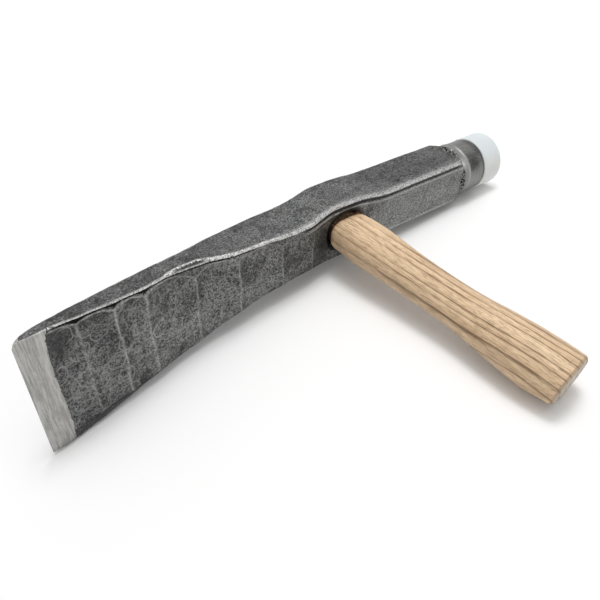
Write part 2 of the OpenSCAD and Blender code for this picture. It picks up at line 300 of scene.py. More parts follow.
    # ground strip: bare, with streaks along the edge and a ragged inner border
    ground = t.step(t.plus(groundGap, t.sway(fine, 3.2)), 0.3, -0.3)
    streak = t.streaks(place, (1100, 700, 75), 3, 0.7, (0, 0.15, 0))
    stain = t.streaks(place, (160, 160, 60), 4, 0.65)
    bare = t.mix(t.step(streak, 0.36, 0.64), look["groundDark"], bareSteel)
    bare = t.paint(bare, look["groundDark"], t.step(stain, 0.5, 0.64), 0.6)
    bare = t.paint(bare, polish, t.step(salt, 0.56, 0.7), 0.16)
    bare = t.paint(bare, medium, t.step(streak, 0.3, 0.2), 0.8)
    base = t.paint(base, bare, ground)

    rough = t.blendValue(speck, 0.56, 0.44)
    rough = t.blendValue(worn, rough, 0.34)
    rough = t.blendValue(turned, rough, t.blendValue(ledge, 0.42, 0.6))
    rough = t.blendValue(smooth, rough, 0.42)
    rough = t.blendValue(ground, rough, t.step(streak, 0.3, 0.7, 0.36, 0.5))
    plain = t.minus(1, t.math("MAXIMUM", t.math("MAXIMUM", ground, turned), smooth))
    grain = t.plus(t.times(salt, 0.8), t.times(thread, 0.3))
    relief = t.minus(t.plus(t.times(grain, plain), t.times(lines, 0.6)), t.times(shadedCrease, 0.8))
    scratches = t.plus(t.times(grooves, turned), t.times(streak, ground))
    sockets = {"Base Color": base, "Roughness": rough, "Metallic": look["metallic"]}
    sockets["Specular IOR Level"] = 0.4
    finishMaterial(t, sockets, [(t.times(mid, plain), 0.0009), (relief, 0.00055), (scratches, 0.0001)])
    return material


# head of the hammer, in mm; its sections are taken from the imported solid
headSpec = {
    "edge": -198, "rowBlur": 2.2, "backRound": 2.4,
    # stretches along the head from, to, and the gap between sections in each
    "runs": [(-198, -192, 0.4), (-192, -45, 0.8), (-45, 30, 0.85), (30, 98, 1.5), (98, 116, 0.5),
             (116, 126.7, 1.3)],
    "lowest": [(-198, -34.1), (-192, -34.1), (-186, -33.9), (-180, -36)],
    # hammered steps: place, height of the pocket over the panels there, strength of the line
    "steps": [(-171.3, 2.2, 0.6), (-153.3, 3.4, 1), (-137.4, 3.4, 0.85), (-108.6, 6, 0.8),
              (-81.7, 3.8, 0.85), (-51.5, 5, 0.6), (-28.5, 5.6, 0.5)],
    "lowestGap": 0.7,
    "dish": 0.5,
    # width of the worn ridge along the head
    "bright": [
        (-198, 1.2), (-184, 1.1), (-172, 0.6), (-150, 0.7), (-127, 0.9), (-119, 2.7), (-105, 3.5), (-98, 2.1),
        (-80, 1.8), (-70, 1.5), (-45, 1.9), (0, 1.6), (112, 1.7),
    ],
    "bandHeight": [
        (-198, 0.4), (-186, 0.8), (-130, 1.1), (-123, 1.4), (-116, 2.5), (-106, 2.8), (-99, 2), (-90, 1.5),
        (-60, 1.6), (-45, 2), (110, 2.2),
    ],
    "bandDepth": [
        (-198, 0.12), (-186, 0.8), (-130, 1), (-117, 1.9), (-106, 2.2), (-97, 1.5), (-60, 1.6), (-45, 2),
        (110, 2.2),
    ],
    "lowerHeight": [
        (-198, 0.2), (-189, 2.5), (-185, 7.6), (-172, 6), (-158, 4), (-145, 2.4), (-130, 1.6), (110, 1.8),
    ],
    "lowerDepth": [(-198, 0.1), (-186, 0.9), (-170, 1), (-150, 1.3), (-60, 1.6), (110, 1.8)],
    # inner border of the ground strip: height, place
    "groundEdge": [
        (-34, -186.8), (-26, -185.4), (-10, -185.2), (8, -185.9), (25, -185.6), (31, -184.7), (35, -183),
    ],
    "groundBack": -186.4, "groundTip": -194.3,  # where it ends on the back and on the top
    "creaseBar": 1.15, "lightBar": 3.1,
    "eyeLength": 24, "eyeHeight": 20, "eyeSquareness": 2.3,
    "eyeGrid": (9, 8, 1.85),  # half sides of the hole in the grid, and how far round it is drawn away
    "mouthFlare": 0.9, "backFlare": 0.9, "mouthDepth": 4, "backDepth": 12, "wallRows": 14,
    "shoulder": 111,
    # path of the lathe tool: place, radius
    "tool": [
        (100.8, 22.6), (101.8, 21.8), (103.1, 20.7), (104.7, 19.4), (106.2, 18.45), (107.6, 18.06),
        (109, 18), (110.4, 18.15), (111.2, 18.55), (111.8, 18.55), (112.4, 18.2), (113.2, 18.05),
        (116, 18), (130, 18),
    ],
    "collarRadius": 18, "collarEnd": 127.4, "rimChamfer": 0.7,
    "socketRadius": 13, "socketDepth": 26, "drillSlope": 0.6,
}


def rise(value, low, high):  # from 0 at low smoothly up to 1 at high
    t = np.clip((value - low) / (high - low), 0, 1)
    return t * t * (3 - 2 * t)


def bell(value, middle, width):
    return np.exp(-(((value - middle) / width) ** 2))


def blurred(values, gap, width):  # values spaced by gap mm, rounded over width mm
    reach = int(width * 3 / gap)
    kernel = np.exp(-0.5 * (np.arange(-reach, reach + 1) * gap / width) ** 2)
    padded = np.pad(values, reach, mode="reflect", reflect_type="odd")
    return np.convolve(padded, kernel / kernel.sum(), "valid")


def curveAt(points, places):
    xs, ys = np.array(points, float).T
    fine = np.arange(xs[0], xs[-1], 0.25)
    return np.interp(places, fine, blurred(np.interp(fine, xs, ys), 0.25, 1.2))


def ovalPoint(angle, halfWide, halfHigh, squareness):
    c, s = math.cos(angle), math.sin(angle)
    power = 2 / squareness
    return halfWide * math.copysign(abs(c) ** power, c), halfHigh * math.copysign(abs(s) ** power, s)


def packedMesh(node):  # points in mm about the middle plane, and edges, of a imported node
    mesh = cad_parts[node].data
    points = np.empty(len(mesh.vertices) * 3)
    mesh.vertices.foreach_get("co", points)
    edges = np.empty(len(mesh.edges) * 2, int)
    mesh.edges.foreach_get("vertices", edges)
    return points.reshape(-1, 3) / mm - (0, 0, midPlane), edges.reshape(-1, 2)


def packedSections(places):  # handle side, far side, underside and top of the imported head
    points, edges = packedMesh("hammer_head")
    start, end = points[edges[:, 0]], points[edges[:, 1]]
    rows = []
    for x in places:
        crossing = (start[:, 0] - x) * (end[:, 0] - x) < 0
        a, b = start[crossing], end[crossing]
        cut = a + (b - a) * ((x - a[:, 0]) / (b[:, 0] - a[:, 0]))[:, None]
        rows.append((cut[:, 1].min(), cut[:, 1].max(), cut[:, 2].min(), cut[:, 2].max()))
    return np.array(rows).T


def lumps(points, size, seed):  # soft noise from -1 to 1, with lumps about size mm across
    shift = Vector((seed * 7.3, seed * 3.1, seed * 5.7))
    return np.array([noise.noise(Vector(p) / size + shift) for p in points])


def bridge(faces, first, second):  # quads between two closed rows of point numbers
    for n in range(len(first)):
        after = (n + 1) % len(first)
        faces.append((first[n], first[after], second[after], second[n]))


def groundGapOf(spec, x, z):  # mm from the inner border of the ground strip, positive on the scale
    zs, places = np.array(spec["groundEdge"], float).T
    return x - np.interp(z, zs, places)


def stationPlaces(runs):
    places = []
    for start, end, gap in runs:
        count = int(round((end - start) / gap))
        places += [start + (end - start) * k / count for k in range(count)]
    return np.array(places)


def buildHead(spec):
    xs = stationPlaces(spec["runs"])
    even = np.arange(spec["edge"] + 0.1, spec["shoulder"] - 0.1, 0.5)
    sections = packedSections(even)
    kept = rise(even, -193, -187)
    sections = [kept * blurred(s, 0.5, spec["rowBlur"]) + (1 - kept) * s for s in sections]
    forged = np.clip(xs, even[0], even[-1])
    front, back, low, high = (np.interp(forged, even, s) for s in sections)
    low = np.maximum(low, np.interp(forged, *zip(*spec["lowest"])))
    back = back - 0.9 * bell(xs, -19, 12)
    bandH, bandD, lowerH, lowerD, bright = (
        curveAt(spec[k], forged) for k in ("bandHeight", "bandDepth", "lowerHeight", "lowerDepth", "bright")
    )
    thick = back - front
    backRound = np.minimum(spec["backRound"], thick * 0.25)
    steps = np.array(spec["steps"])
    bounds = np.concatenate([[-190], steps[:, 0], [-6]])
    panel = np.interp(xs, bounds, np.arange(len(bounds)))
    dish = spec["dish"] * np.sin(np.pi * (panel % 1)) * rise(xs, -188, -180)
    dish *= rise(-xs, 6, 20)
    # height of the pocket between the ridge and the top of the panels: a cusp at each step
    archGap = np.full(len(xs), spec["lowestGap"])
    cusp = np.zeros(len(xs))
    for place, peak, _ in spec["steps"]:
        reach = 3 + 0.9 * peak
        shape = np.clip(1 - np.abs(xs - place) / (reach * 1.6), 0, 1) ** 1.7
        archGap = np.maximum(archGap, spec["lowestGap"] + (peak - spec["lowestGap"]) * shape)
        cusp = np.maximum(cusp, np.clip(1 - np.abs(xs - place) / 4.5, 0, 1))
    archGap += 0.25 * np.sin(xs * 0.9) * np.sin(xs * 0.37 + 1)

    # sections, point by point round the head; each point is a line of places along the head
    nFront, nLower, nBottom, nCorner, nTop, nBand = 74, 6, 16, 4, 30, 8
    frontShare = np.linspace(0, 1, nFront + 1)
    frontShare = 0.45 * frontShare + 0.55 * frontShare ** 2
    bevelDepth = np.minimum(lowerD, thick * 0.45)
    bandD = np.minimum(bandD, thick * 0.4)
    bandLength = np.hypot(bandH, bandD)
    faceHigh, faceLow = high - bandH, low + lowerH
    inner, sole = back - backRound, front + bevelDepth
    quarter = math.pi / 2
    ring = []

    def put(y, z, ridge, wear, gap, smooth=0):
        ring.append(np.broadcast_arrays(y, z, ridge, wear, gap, smooth, xs)[:6])

    for s in frontShare:
        z = faceHigh + (faceLow - faceHigh) * s
        put(front, z, z - faceHigh, 1, faceHigh - z)
    for a in np.arange(1, nLower) / nLower:  # lower bevel, softly rounded
        y, z = front + bevelDepth * a ** 1.25, faceLow + (low - faceLow) * a ** 0.9
        put(y, z, -9, 0, faceHigh - faceLow, 1)
    for a in np.arange(nBottom + 1) / nBottom:
        y = sole + (inner - sole) * a
        put(y, low, bandLength + np.minimum(y - sole, inner - y), 0.45, 30)
    for a in np.arange(1, nCorner) / nCorner:
        y, z = inner + backRound * math.sin(a * quarter), low + backRound * (1 - math.cos(a * quarter))
        put(y, z, bandLength * (1 - a), 0.55, 30)
    for s in frontShare[::-1]:
        z = high - backRound + (low + 2 * backRound - high) * s
        put(back, z, -np.minimum(high - backRound - z, z - low - backRound), 0.7, 30)
    for a in np.arange(1, nCorner) / nCorner:
        y, z = inner + backRound * math.cos(a * quarter), high - backRound * (1 - math.sin(a * quarter))
        put(y, z, bandLength * a, 0.55, 30)
    for a in np.arange(nTop + 1) / nTop:
        y = inner + (front + bandD - inner) * a
        put(y, high, bandLength + y - front - bandD if a > 0.5 else 9, 1, -20)
    for a in 1 - np.arange(1, nBand) / nBand:  # worn ridge, down to the front
        y = front + bandD * (0.6 * (1 - math.cos(a * quarter)) + 0.4 * a)
        z = high - bandH * (0.6 * (1 - math.sin(a * quarter)) + 0.4 * (1 - a))
        put(y, z, bandLength * a, 1, -20)
    gridY, gridZ, ridge, wear, gap, smooth = np.array(ring).transpose(1, 2, 0).copy()
    nx, nr = gridY.shape

    def across(values):  # the same value all round each section
        return np.repeat(values[:, None], nr, 1)

    gridX = across(xs)
    backStart = nFront + nLower + nBottom + nCorner  # number of the first point of the far side
    onFront = np.zeros((nx, nr))
    onFront[:, : nFront + 1] = 1
    arch = gap - archGap[:, None]

    # light lines: down the steps, along the top of the panels, beside the groove of the bar, and a painted
    # highlight along the bar's lower edge
    stepLine, stepShade = np.zeros((nx, nr)), np.zeros((nx, nr))
    for number, (place, _, strength) in enumerate(spec["steps"]):
        wander = 0.45 * np.sin(gridZ * 0.16 + number * 2.1) + 0.22 * np.sin(gridZ * 0.9 + number * 1.3)
        stepLine = np.maximum(stepLine, strength * bell(gridX, place + wander, 0.5))
        stepShade = np.maximum(stepShade, strength * bell(gridX, place + wander + 2, 1.3))
    stepLine *= rise(arch, -0.4, 0.3)
    stepShade *= rise(arch, 0, 1.5)
    archLine = bell(arch, 0.55, 0.5) * (0.75 + 0.15 * cusp[:, None]) * rise(-gridX, 60, 115)
    archLine += bell(arch, 0, 0.6) * 0.3 * rise(gridX, -110, -60)
    onBlade = rise(-gridX, 14, 26)
    onBar = rise(gridX, -42, -30) * rise(-gridX, -109, -105)
    line = np.maximum(stepLine, archLine) * onBlade * rise(groundGapOf(spec, gridX, gridZ), -0.5, 1)
    line = np.maximum(line, 0.9 * bell(gap, spec["lightBar"], 0.6) * onBar)
    paintedLowHighlight = bell(gridZ, low[:, None] + lowerH[:, None] + 0.7, 0.8) * rise(gridX, 16, 26) * onBar
    line = np.maximum(line, paintedLowHighlight) * onFront

    # painted shade in the dark crease right under the ridge, deep pockets at the steps
    width = 0.42 + 0.85 * cusp[:, None] * rise(-gridX, 120, 135)
    crease = bell(gap, width + 0.15, width) * (0.8 + 0.2 * cusp[:, None]) * rise(-gridX, 64, 74)
    crease *= rise(gridX, -188, -180)
    crease = np.maximum(crease, bell(gap, spec["creaseBar"], 1.15) * onBar * 0.9)
    crease = np.maximum(crease, bell(gap, 0.6, 0.4) * 0.45 * rise(gridX, -80, -60) * onBlade) * onFront

    fade = rise(gap, 0.5, 5)
    sunk = dish[:, None] * fade * onBlade + 0.75 * crease - 0.25 * line
    pocketDip = 0.5 * np.clip(-arch / archGap[:, None], 0, 1) ** 0.7 * rise(gap, 0.1, 0.6) * onBlade
    gridY += onFront * (sunk + pocketDip * rise(gridX, -188, -182))

    # shoulder: the lathe tool's path, met by the ragged edge of the forging
    radius = np.hypot(gridY, gridZ)
    toolX, toolR = np.array(spec["tool"]).T
    tool = np.where(gridX < toolX[0], 99, np.interp(gridX, toolX, toolR))
    angle = np.arctan2(gridZ, gridY)
    ragged = 0.4 * np.sin(angle * 23) * np.sin(angle * 7 + 1.3) + 0.25 * np.sin(angle * 41 + 0.7)
    risen = 16 + 5 * rise(gridX, spec["shoulder"] - 6.2 + ragged, spec["shoulder"] - 3.6 + ragged)
    stock = np.where(gridX > 104, np.maximum(radius, risen), radius)
    wanted = np.minimum(stock, tool)
    turned = rise(stock - tool, -0.3, 0.15)
    burr = np.where(gridX > 98, bell(stock - tool, -0.45, 0.45), 0)
    turnAngle = np.degrees(np.arctan2(gridZ, -gridY))  # 0 faces the handle, 90 is on top
    edgeWidth = 0.7 + 0.8 * bell(turnAngle, 6, 20)
    crumbly = bell(gridX, spec["shoulder"] - 5.9 + ragged, edgeWidth) * (1 - turned)
    burr = np.maximum(burr, np.where(gridX > 104, crumbly, 0))
    gridY *= wanted / radius
    gridZ *= wanted / radius

    # soft lumps of the forging, none on ground or turned faces
    cloud = np.stack([gridX, gridY, gridZ], -1)
    alongX = np.gradient(cloud, axis=0)
    alongRing = np.roll(cloud, -1, 1) - np.roll(cloud, 1, 1)
    outward = np.cross(alongRing, alongX)
    outward /= np.linalg.norm(outward, axis=-1, keepdims=True) + 1e-9
    outward *= np.sign((outward[nx // 2] * (cloud[nx // 2] - cloud[nx // 2].mean(0))).sum())
    # the underside is never ground, the top only at its tip, the back in a straight strip
    groundGap = groundGapOf(spec, gridX, gridZ)
    groundGap[:, nFront + nLower: 1 - nBand] += 50
    backSide = slice(backStart, backStart + nFront + 1)
    groundGap[:, backSide] = gridX[:, backSide] - spec["groundBack"]
    topSide = slice(backSide.stop, nr - nBand + 1)
    groundGap[:, topSide] = np.minimum(groundGap[:, topSide], 3 * (gridX[:, topSide] - spec["groundTip"]))
    calm = rise(groundGap, 0, 3) * (1 - turned) * (1 - 0.6 * smooth)
    flat = cloud.reshape(-1, 3)
    soft = 0.26 * lumps(flat, 15, 1) + 0.13 * lumps(flat, 5.5, 2) + 0.06 * lumps(flat, 2.1, 3)
    soft = soft.reshape(nx, nr) + burr * 0.35 * lumps(flat, 1.1, 4).reshape(nx, nr)
    cheek = 1 - 0.6 * np.exp(-((gridX / 14) ** 2))
    cloud = cloud + outward * (soft * calm * cheek)[..., None]
    gridX, gridY, gridZ = cloud[..., 0], cloud[..., 1], cloud[..., 2]
    nearEye = bell(gridX, -18, 5.5) * bell(gridZ, -2, 11)

    # eye: the grid is drawn back from an oval on the handle side and on the far side
    halfL, halfH = spec["eyeLength"] / 2, spec["eyeHeight"] / 2
    boxX, boxZ, reach = spec["eyeGrid"]
    i0, i1 = np.searchsorted(xs, -boxX), np.searchsorted(xs, boxX)
    mid = int(np.searchsorted(xs, 0))
    j0 = int(np.argmin(np.abs(gridZ[mid, : nFront + 1] - boxZ)))
    j1 = int(np.argmin(np.abs(gridZ[mid, : nFront + 1] + boxZ)))
    lip, hollow = np.zeros((nx, nr)), np.zeros((nx, nr))

    def openFace(columnOf, grow, funnel):
        for i in range(i0 - 30, i1 + 31):
            for j in range(nFront + 1):
                c = columnOf(j)
                x, z = gridX[i, c], gridZ[i, c]
                rho = max(abs(x) / boxX, abs(z) / boxZ)
                onEdge = i0 <= i <= i1 and j0 <= j <= j1
                if rho >= reach and not onEdge:
                    continue
                t = 0 if onEdge else max(0, (rho - 1) / (reach - 1))
                theta = math.atan2(z / boxZ, x / boxX)
                ox, oz = ovalPoint(theta, halfL + grow, halfH + grow, spec["eyeSquareness"])
                scale = reach / max(rho, 1e-6)
                ex, ez = x * scale, z * scale
                gridX[i, c] = ox + (ex - ox) * t
                gridZ[i, c] = oz + (ez - oz) * t
                away = math.hypot(gridX[i, c] - ox, gridZ[i, c] - oz)
                upper = 0.35 + 0.65 * max(0, math.sin(theta)) + 0.3 * max(0, -math.cos(theta))
                if funnel > 0:
                    gridY[i, c] += funnel * upper * max(0, 1 - away / 4.5) ** 1.6
                    gridY[i, c] += 0.35 * math.exp(-away / 0.5)
                    lip[i, c] = max(0, 1 - away / 4.2) ** 0.5 * min(1, upper)
                    # painted shadow in the hollow on the blade's side of the mouth
                    towardBlade = max(0, -math.cos(theta) - 0.8 * max(0, math.sin(theta)))
                    hollow[i, c] = max(0, 1 - away / 4.4) * min(1, 1.6 * towardBlade)
                else:
                    gridY[i, c] -= 0.3 * math.exp(-away / 0.5)

    openFace(lambda j: j, spec["mouthFlare"], 2.1)
    openFace(lambda j: backStart + nFront - j, spec["backFlare"], 0)

    # painted sheen on the front of the bar and on the top beside the ridge
    sheen = onFront * 0.68 * rise(gridX, 10, 34)
    nearRidge = rise(-ridge, -10, -2) * (gap < -1)
    sheen += 0.55 * nearRidge ** 1.7 * rise(gridX, -70, -30) * (1 - turned)
    ledge = turned * 0.6 * bell(gridX, 111.4, 0.9) * bell(turnAngle, 15, 45)
    ledge = np.maximum(ledge, 0.95 * bell(turnAngle, 41, 14) * bell(gridX, 106, 4))
    crease *= rise(-gridX, -104.5, -101)
    # painted reflection and shade on the turned collar: a dark band at the upper front, darker over the top
    # and towards the rim, a black line at the rim
    collar = 0.95 * bell(turnAngle, 35, 20) * (1 - 0.5 * rise(gridX, 118, 125)) * rise(gridX, 111, 113)
    upper = rise(turnAngle, 40, 60) * (1 - rise(turnAngle, 120, 170))
    collar += upper * (0.1 + 0.3 * rise(gridX, 110, 114) + 0.35 * rise(gridX, 120, 125))
    collar += rise(gridX, 125.6, 126.4) * (0.7 + 0.9 * bell(turnAngle, 60, 50))
    # painted shade on the tops (darker towards the blade), beside each step, in patches of the panels and
    # beside the handle; also a dark patch beside the ground strip
    topDark = (gap < -1) * rise(-gridX, 30, 150) * rise(-ridge, -30, -1)
    dim = 0.32 * topDark + 0.45 * stepShade * onFront * onBlade
    # painted shade multiplied in on the top faces and beside the handle; the handle side is also darker
    # towards the blade's end
    deepen = (gap < -1) * (0.27 + 0.16 * rise(gridX, 20, 60) * (1 - nearRidge))
    deepen += onFront * (0.04 * rise(-gridX, 105, 125) + 0.2 * rise(-gridX, 124, 160))
    deepen += 0.42 * nearEye * onFront
    darkPatch = rise(arch, 0, 1) * bell(arch, 3, 4) * bell(panel[:, None] % 1, 0.5, 0.36)
    dim += 0.6 * darkPatch * rise(-gridX, 105, 140) * onFront
    dim += 0.6 * nearEye * onFront
    besideStrip = bell(gridX, -181, 4.5) * bell(gridZ, 24, 9) * onFront
    dim += 0.85 * besideStrip
    values = {
        "ridge": ridge, "bright": across(bright),
        "twin": across(rise(xs, -122, -117) * rise(-xs, 98, 104)),
        "wear": wear * (0.92 - 0.14 * rise(gridX, -60, -20)) * (1 - turned) * rise(gridX, -189, -177),
        "front": onFront * (1 - 0.6 * rise(gridX, -10, 20)), "line": line, "crease": crease * (1 - turned),
        "sheen": sheen * (1 - turned), "groundGap": groundGap, "turned": turned, "lip": lip, "burr": burr,
        "smooth": smooth * rise(-gridX, 130, 150),
        "collar": collar * turned, "ledge": ledge, "dim": np.clip(dim, 0, 0.9), "hollow": hollow,
        "deepen": deepen * (1 - turned),
        "loopy": (0.55 * rise(-gridX, 115, 150) + 0.2 * rise(-gridX, 30, 70)) * (1 - besideStrip),
        "bar": rise(gridX, -62, -25),
    }
    vertices = [tuple(p) for p in np.stack([gridX, gridY, gridZ], -1).reshape(-1, 3)]
    values = {k: list(v.reshape(-1)) for k, v in values.items()}

    def vertex(i, j):
        return i * nr + j % nr

    faces = []
    hole = {(i, c) for i in range(i0, i1) for j in range(j0, j1) for c in (j, backStart + nFront - 1 - j)}
    for i in range(nx - 1):
        for j in range(nr):
            if (i, j) not in hole:
                faces.append((vertex(i, j), vertex(i + 1, j), vertex(i + 1, j + 1), vertex(i, j + 1)))
    faces.append(tuple(vertex(0, j) for j in range(nr)))
    away = {"ridge": -9, "bright": 2, "groundGap": 50}  # marks of a point inside the eye or socket

    def addPoint(point, marksOf):
        vertices.append(point)
        for key in values:
            values[key].append(marksOf.get(key, away.get(key, 0)))
        return len(vertices) - 1

    # wall of the eye, from the mouth to the far side
    loop = [(i, j0) for i in range(i0, i1)] + [(i1, j) for j in range(j0, j1)]
    loop += [(i, j1) for i in range(i1, i0, -1)] + [(i0, j) for j in range(j1, j0, -1)]
    frontLoop = [vertex(i, j) for i, j in loop]
    backLoop = [vertex(i, backStart + nFront - j) for i, j in loop]
    meanHalf = (halfL + halfH) / 2
    previous = frontLoop
    for k in range(1, spec["wallRows"]):
        a = k / spec["wallRows"]
        row = []
        for f, b in zip(frontLoop, backLoop):
            pf, pb = vertices[f], vertices[b]
            y = pf[1] + (pb[1] - pf[1]) * a
            grow = spec["mouthFlare"] * max(0, 1 - (y - pf[1]) / spec["mouthDepth"]) ** 1.5
            grow += spec["backFlare"] * max(0, 1 - (pb[1] - y) / spec["backDepth"])
            scale = (1 + grow / meanHalf) / (1 + spec["mouthFlare"] / meanHalf)
            # the wall of the eye is painted with shadow, except just under the upper lip
            upperLip = k < 3 and pf[2] > 2 - 0.3 * pf[0]
            wallMarks = {"lip": 1 if k < 4 else 0.6, "hollow": 0 if upperLip else 1}
            row.append(addPoint((pf[0] * scale, y, pf[2] * scale), wallMarks))
        bridge(faces, previous, row)
        previous = row
    bridge(faces, previous, backLoop)

    # rim of the collar and the drilled socket
    rim, end, bore = spec["collarRadius"], spec["collarEnd"], spec["socketRadius"]
    bottom = end - spec["socketDepth"]
    outline = [(end - 0.2, rim - 0.25), (end, rim - spec["rimChamfer"]), (end, rim - 2.5), (end, bore + 0.5)]
    outline += [(end - 0.4, bore), (end - 6, bore), (end - 14, bore), (bottom, bore)]
    outline += [(bottom - (1 - q) * bore * spec["drillSlope"], bore * q) for q in (0.75, 0.5, 0.25, 0.06)]
    previous = [vertex(nx - 1, j) for j in range(nr)]
    directions = [Vector(vertices[p][1:]).normalized() for p in previous]
    for x, q in outline:
        row = [addPoint((x, q * dy, q * dz), {"turned": 1, "collar": 1}) for dy, dz in directions]
        bridge(faces, previous, row)
        previous = row
    faces.append(tuple(previous))
    return makePiece("forgedHead", vertices, faces, values)


def settle(edit, mesh):  # turns all faces outward, shades them smooth and writes them to the mesh
    bmesh.ops.recalc_face_normals(edit, faces=edit.faces)
    for face in edit.faces:
        face.smooth = True
    edit.to_mesh(mesh)
    edit.free()


def makePiece(name, vertices, faces, values=None):  # points are in mm about the head's middle plane
    mesh = bpy.data.meshes.new(name)
    lift = [(x * mm, y * mm, (z + midPlane) * mm) for x, y, z in vertices]
    mesh.from_pydata(lift, [], faces)
    for key, numbers in (values or {}).items():
        mark = mesh.attributes.new(key, "FLOAT", "POINT")
        mark.data.foreach_set("value", np.array(numbers, np.float32))
    mesh.update()
    edit = bmesh.new()
    edit.from_mesh(mesh)
    settle(edit, mesh)
    return addObject(name, mesh)


def closedTube(name, rings):  # rings of points in mm, all of one count, closed at both ends
    sides = len(rings[0])
    rows = [range(i * sides, (i + 1) * sides) for i in range(len(rings))]
    faces = []
    for first, second in zip(rows, rows[1:]):
        bridge(faces, first, second)
    faces += [tuple(rows[0]), tuple(rows[-1])]
    return makePiece(name, [point for ring in rings for point in ring], faces)


def sharpen(piece, degrees):
    piece.data.set_sharp_from_angle(angle=math.radians(degrees))


head = buildHead(headSpec)
sharpen(head, 42)
head.data.materials.append(forgedSteel(steelLook))
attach(head, "hammer")
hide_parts("hammer_head")
print("stage: head forged,", len(head.data.polygons), "faces")


# soft face: white nylon disc on a stem, in mm along the head
faceSpec = {
    "colour": (0.655, 0.698, 0.712), "cloud": (0.625, 0.67, 0.68), "scuffed": (0.53, 0.56, 0.565),
    "paintedWarmReflection": (1.08, 1.02, 0.97),  # painted warm reflection: the lower half is warmer
    "stemStart": 103.4, "stemRadius": 12.95, "seat": 127.5, "radius": 18.5, "end": 145.6, "rim": 1.8,
    "sides": 144,
}


def nylon(look):
    material, t, place = newMaterial("whiteNylon")
    scuff = t.streaks(place, (420, 90, 260), 4)
    rings = t.streaks(place, (1400, 30, 30), 2, 0.5)
    base = t.mix(t.step(t.noise(place, 55, 3, 0.5), 0.35, 0.7), look["colour"], look["cloud"])
    base = t.paint(base, look["scuffed"], t.step(scuff, 0.6, 0.78), 0.25)
    # painted warm reflection on the lower half
    base = t.mix(t.step(t.parts(place)[2], 0.037, 0.019), base, look["paintedWarmReflection"], "MULTIPLY")
    finishMaterial(
        t,
        {"Base Color": base, "Roughness": t.step(scuff, 0.3, 0.75, 0.38, 0.55), "IOR": 1.53,
         "Subsurface Weight": 0.25, "Subsurface Radius": (0.006, 0.006, 0.006), "Subsurface Scale": 1},
        [(rings, 0.00006), (scuff, 0.00008)],
    )
    return material


def faceOutline(spec):  # place along the head and radius, from the stem to the middle of the face
    s, r, q = spec["stemStart"], spec["stemRadius"], spec["rim"]
    seat, wide, end = spec["seat"], spec["radius"], spec["end"]
    points = [(s, r - 1.6), (s, r - 1.1), (s + 0.25, r - 0.6), (s + 1, r - 0.02), (s + 2, r), (s + 12, r)]
    points += [(seat - 0.6, r), (seat, r + 0.4), (seat, r + 2)]
    points += [(seat, wide - 0.7), (seat + 0.2, wide - 0.25), (seat + 0.7, wide)]
    points += [(seat + k, wide + 0.06 * math.sin(k * 0.9)) for k in (3, 6, 9, 12, 14.5)]
    for k in range(9):
        a = math.pi / 2 * k / 8
        points.append((end - q + q * math.sin(a), wide - q + q * math.cos(a)))
    points += [(end + 0.04 * math.sin(k), wide - q - k) for k in (1, 3, 6, 9, 12, 15)]
    return points


def turnFace(spec):
    turns = [2 * math.pi * k / spec["sides"] for k in range(spec["sides"])]
    rings = [[(x, r * math.cos(a), r * math.sin(a)) for a in turns] for x, r in faceOutline(spec)]
    return closedTube("softFace", rings)


softFace = turnFace(faceSpec)
sharpen(softFace, 50)
softFace.data.materials.append(nylon(faceSpec))
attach(softFace, "face")
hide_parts("soft_face")
print("stage: soft face turned")


# ash handle: reach from the middle of the head and mean radius, in mm
handleSpec = {
    "profile": [
        (14.6, 9.4), (15.4, 10.2), (16, 10.8), (17.5, 11.6), (20, 12.6), (25, 13.6), (34, 13.8), (42, 13.7),
        (52, 13.05), (60, 12.55), (66, 12.15), (73, 11.95), (80, 11.75), (88, 11.6), (98, 11.5), (107, 11.55),
        (118, 12.2), (128, 13.2), (136, 13.8), (145, 14.35), (155, 14.55), (163, 14.5), (168.5, 14.3),
    ],
    "wide": 1.044, "high": 0.955, "butt": 170.6, "chamfer": 1.7, "skew": 0.11, "tuck": 0.09,
    "tongueEnd": 15.45, "tongueLength": 11.85, "tongueHeight": 9.85, "flare": 0.85,
    "tongueRows": (0.3, 3.45, 6.45, 9.45, 13.15, 19.45, 25.45, 28.95),  # back from the tongue's end
    "sides": 128, "rowGap": 1.6, "squareness": 2.12,
}
ashLook = {
    "light": (0.845, 0.63, 0.412), "late": (0.605, 0.415, 0.25), "grain": (0.175, 0.098, 0.05),
    "endLight": (0.52, 0.44, 0.355), "pore": (0.12, 0.07, 0.038), "mouthShade": (0.03, 0.018, 0.01),
    "torn": (0.3, 0.19, 0.11),
    # metres: gap between year rings, place of the pith beside and above the axis, its lean along the handle
    "ringGap": 0.004, "pith": (0.046, 0.066), "tilt": (0.05, -0.03),
}


